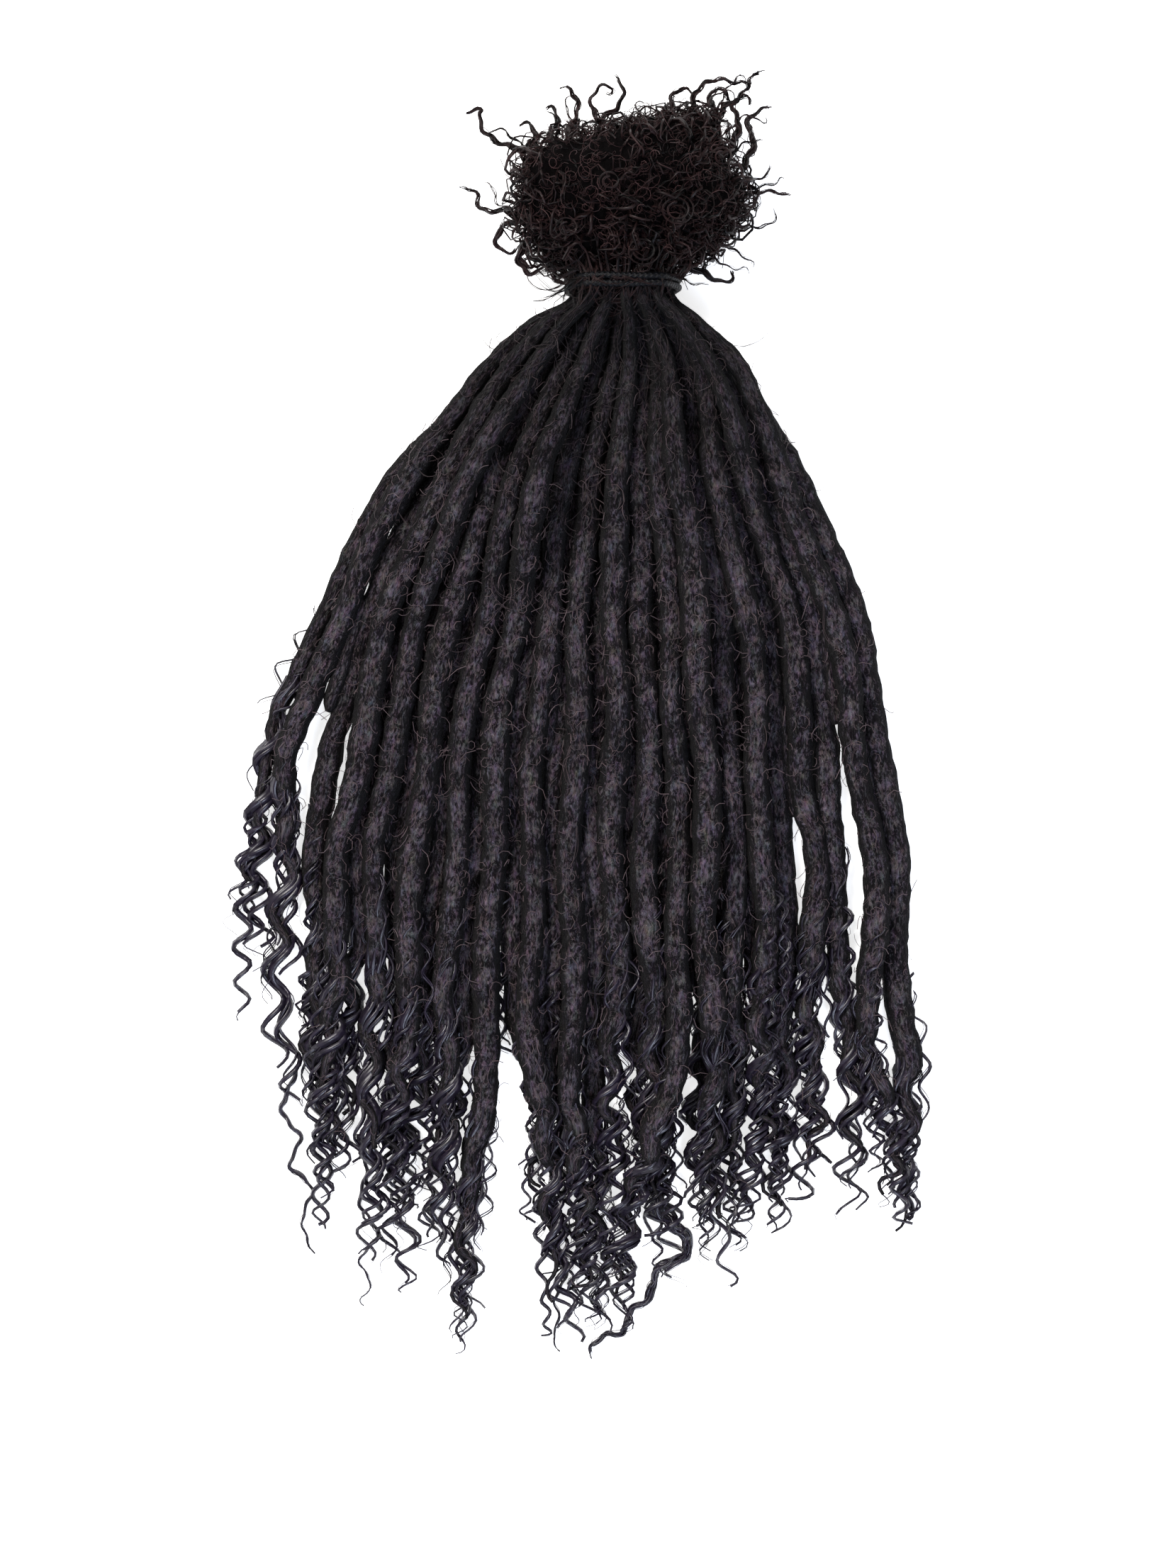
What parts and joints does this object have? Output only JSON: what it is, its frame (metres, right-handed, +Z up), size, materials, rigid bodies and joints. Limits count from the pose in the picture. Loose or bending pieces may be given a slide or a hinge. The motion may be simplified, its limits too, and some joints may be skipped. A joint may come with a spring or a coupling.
{
  "type": "boho loc extension bundle",
  "caption": "Bundle of felted black hair locs with loose curly ends, gathered by an elastic below a curly root puff and lying fanned out flat.",
  "frame": {"origin": "on the surface that the bundle lies on, under the middle of its overall box", "axes": "+X across the fan of locs, +Y from the curly ends to the root puff, +Z up from the surface"},
  "size_m": [0.2102, 0.402, 0.0503],
  "materials": {
    "felted_hair": "felted charcoal-black human hair, matt, with loose glossy curls at the ends",
    "root_hair": "unlocked tightly curled near-black human hair with a brownish sheen",
    "elastic": "thin bluish-black elastic, satin"
  },
  "bodies": {
    "root": {"loc_lower_01": "felted_hair", "loc_lower_02": "felted_hair", "loc_lower_03": "felted_hair", "loc_lower_04": "felted_hair", "loc_lower_05": "felted_hair", "loc_lower_06": "felted_hair", "loc_lower_07": "felted_hair", "loc_lower_08": "felted_hair", "loc_lower_09": "felted_hair", "loc_lower_10": "felted_hair", "loc_lower_11": "felted_hair", "loc_lower_12": "felted_hair", "loc_lower_13": "felted_hair", "loc_lower_14": "felted_hair", "loc_lower_15": "felted_hair", "loc_lower_16": "felted_hair", "loc_upper_01": "felted_hair", "loc_upper_02": "felted_hair", "loc_upper_03": "felted_hair", "loc_upper_04": "felted_hair", "loc_upper_05": "felted_hair", "loc_upper_06": "felted_hair", "loc_upper_07": "felted_hair", "loc_upper_08": "felted_hair", "loc_upper_09": "felted_hair", "loc_upper_10": "felted_hair", "loc_upper_11": "felted_hair", "loc_upper_12": "felted_hair", "loc_upper_13": "felted_hair", "loc_upper_14": "felted_hair", "loc_upper_15": "felted_hair", "loc_upper_16": "felted_hair", "tie_elastic": "elastic", "root_puff": "root_hair"}
  },
  "joints": []
}
